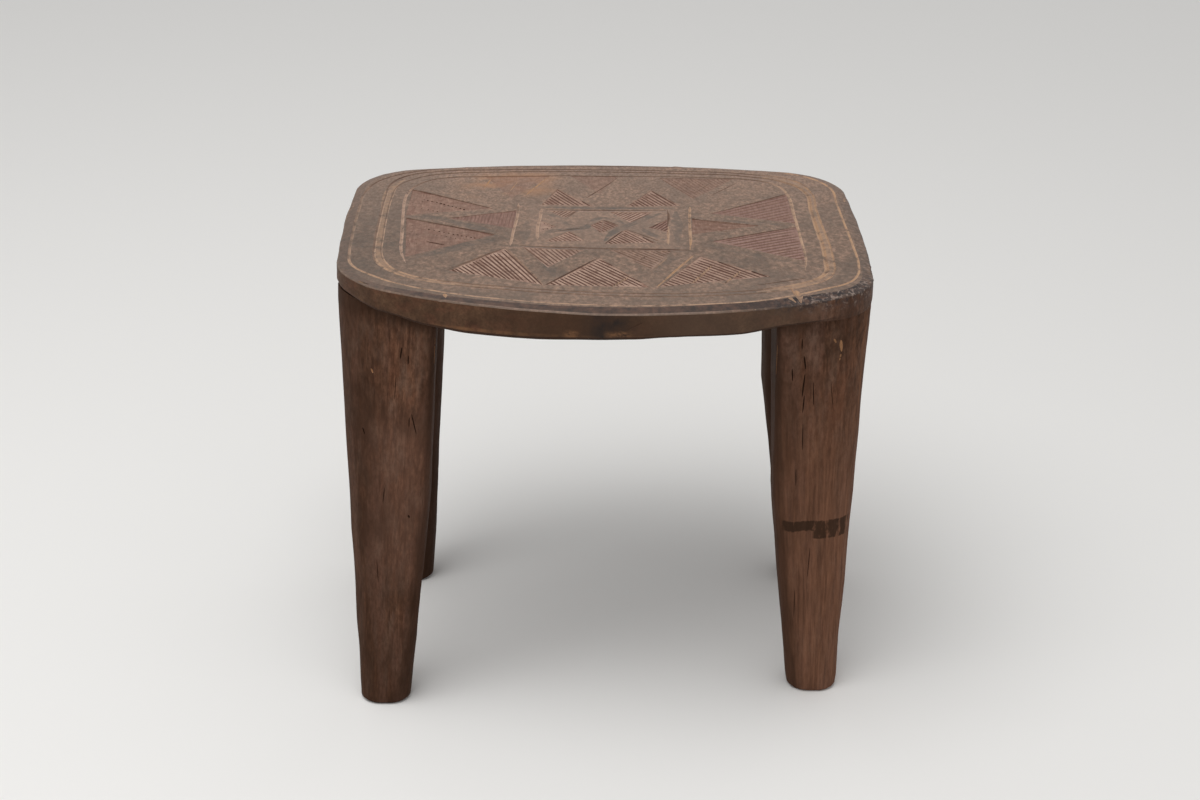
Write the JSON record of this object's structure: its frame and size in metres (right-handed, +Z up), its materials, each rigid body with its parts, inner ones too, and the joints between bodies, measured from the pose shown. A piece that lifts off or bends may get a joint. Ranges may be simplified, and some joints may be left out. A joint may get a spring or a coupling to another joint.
{
  "type": "carved side table",
  "caption": "Low wooden side table or stool: a thick bowed top carved with hatched triangles inside grooved borders, on stout tapering legs.",
  "frame": {"origin": "on the floor under the middle of the top", "axes": "+Z up; +X along the longer side of the top, to the right seen from the front; the front, with the deeper bow, faces -Y"},
  "size_m": [0.48, 0.406, 0.414],
  "materials": {
    "carved_top": "dark stained hardwood, worn and dusty, carved",
    "hewn_leg": "dark stained hardwood, hand hewn, soft sheen",
    "wedge_wood": "bare split hardwood"
  },
  "bodies": {
    "root": {"leg_back_left": "hewn_leg", "leg_back_right": "hewn_leg", "leg_front_left": "hewn_leg", "leg_front_right": "hewn_leg", "top_slab": "carved_top", "wedge_back_left": "wedge_wood", "wedge_back_right": "wedge_wood", "wedge_front_left": "wedge_wood", "wedge_front_right": "wedge_wood"}
  },
  "joints": []
}
